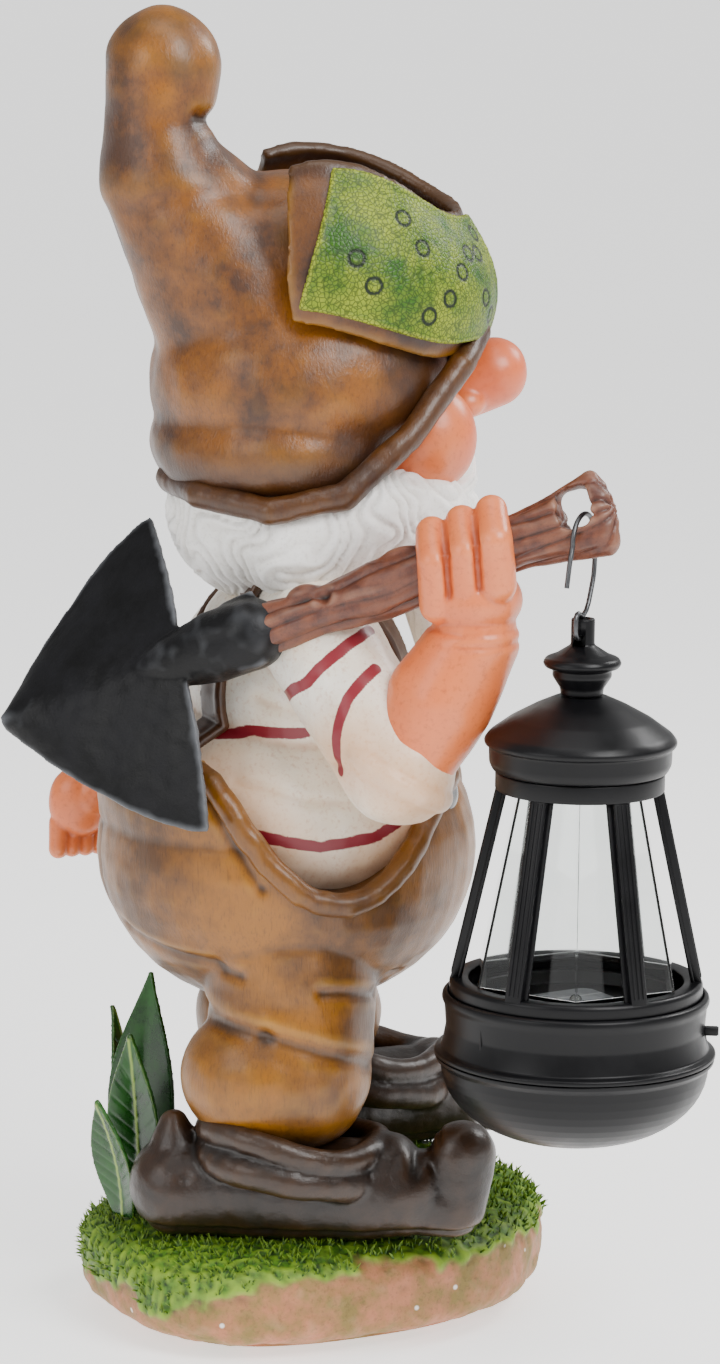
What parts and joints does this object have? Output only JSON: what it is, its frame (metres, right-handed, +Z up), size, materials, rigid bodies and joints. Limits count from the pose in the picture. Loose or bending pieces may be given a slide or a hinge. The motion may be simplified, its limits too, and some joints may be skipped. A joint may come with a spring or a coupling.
{
  "type": "garden gnome",
  "caption": "Painted garden gnome with a floppy patched hat and a spade on its shoulder; a solar lantern swings on a hook from the spade's grip.",
  "frame": {"origin": "middle of the flat underside of the ground base, on the surface that the gnome stands on", "axes": "+Z up, from the base to the tip of the hat; -Y is where the gnome looks; -X is its right hand, with the spade's grip and the lantern"},
  "size_m": [0.314, 0.3009, 0.6014],
  "materials": {
    "soil_resin": "painted resin casting, earth brown with grass green on top",
    "ochre_resin": "painted resin casting, ochre wash over brown",
    "cream_resin": "painted resin casting, cream with crimson stripes",
    "skin_resin": "painted resin casting, satin skin tone",
    "white_resin": "painted resin casting, off-white",
    "brown_resin": "painted resin casting, mottled leather brown",
    "shoe_resin": "painted resin casting, glossy dark brown",
    "green_resin": "painted resin casting, antiqued green",
    "black_resin": "painted resin casting, iron black dry-brushed with silver",
    "bark_resin": "painted resin casting, reddish bark brown",
    "black_plastic": "moulded satin black",
    "clear_plastic": "clear moulded",
    "wire": "dark oxidised wire",
    "screw_steel": "zinc plated",
    "silicon": "glossy solar cell",
    "board": "green solder mask",
    "battery_steel": "wrapped steel can"
  },
  "bodies": {
    "root": {"ground_base": "soil_resin", "trousers": "ochre_resin", "shirt_torso": "cream_resin", "right_sleeve": "cream_resin", "left_sleeve": "cream_resin", "right_forearm": "skin_resin", "left_forearm": "skin_resin", "head": "skin_resin", "hair_beard": "white_resin", "moustache": "white_resin", "hat": "brown_resin", "hat_brim": "brown_resin", "hat_patch": "green_resin", "brace_front_right": "brown_resin", "brace_front_left": "brown_resin", "brace_back_right": "brown_resin", "brace_back_left": "brown_resin", "button_right": "black_resin", "button_left": "black_resin", "right_shoe": "shoe_resin", "left_shoe": "shoe_resin", "leaf_1": "green_resin", "leaf_2": "green_resin", "leaf_3": "green_resin", "leaf_4": "green_resin", "spade_handle": "bark_resin", "spade_blade": "black_resin"},
    "hook": {"s_hook": "wire"},
    "lantern": {"finial": "black_plastic", "finial_screw": "screw_steel", "roof": "black_plastic", "cage": "black_plastic", "glazing": "clear_plastic", "housing": "black_plastic", "cage_screw_1": "screw_steel", "cage_screw_2": "screw_steel", "cage_screw_3": "screw_steel", "solar_cell": "silicon", "led": "clear_plastic", "circuit_board": "board", "battery_holder": "black_plastic", "battery": "battery_steel", "contact_plate": "screw_steel", "battery_spring": "screw_steel", "switch_body": "black_plastic"},
    "switch": {"switch_slider": "black_plastic"},
    "bowl": {"bottom_bowl": "black_plastic"}
  },
  "joints": [
    {"name": "hook_swing", "type": "hinge", "parent": "root", "child": "hook", "pos_m": [-0.12712, -0.10252, 0.3879], "axis": [0.8191, -0.5736, 0], "range_deg": [-25, 0]},
    {"name": "lantern_swing", "type": "hinge", "parent": "hook", "child": "lantern", "pos_m": [-0.13056, -0.10011, 0.3361], "axis": [0.5736, 0.8191, 0], "range_deg": [-12, 10]},
    {"name": "switch_slide", "type": "slide", "parent": "lantern", "child": "switch", "axis": [0.9656, -0.2586, -0.0266], "range_m": [0, 0.004]},
    {"name": "bowl_twist", "type": "hinge", "parent": "lantern", "child": "bowl", "pos_m": [-0.1314, -0.09952, 0.14976], "axis": [0.0232, -0.0162, 0.9996], "range_deg": [0, 30]}
  ]
}
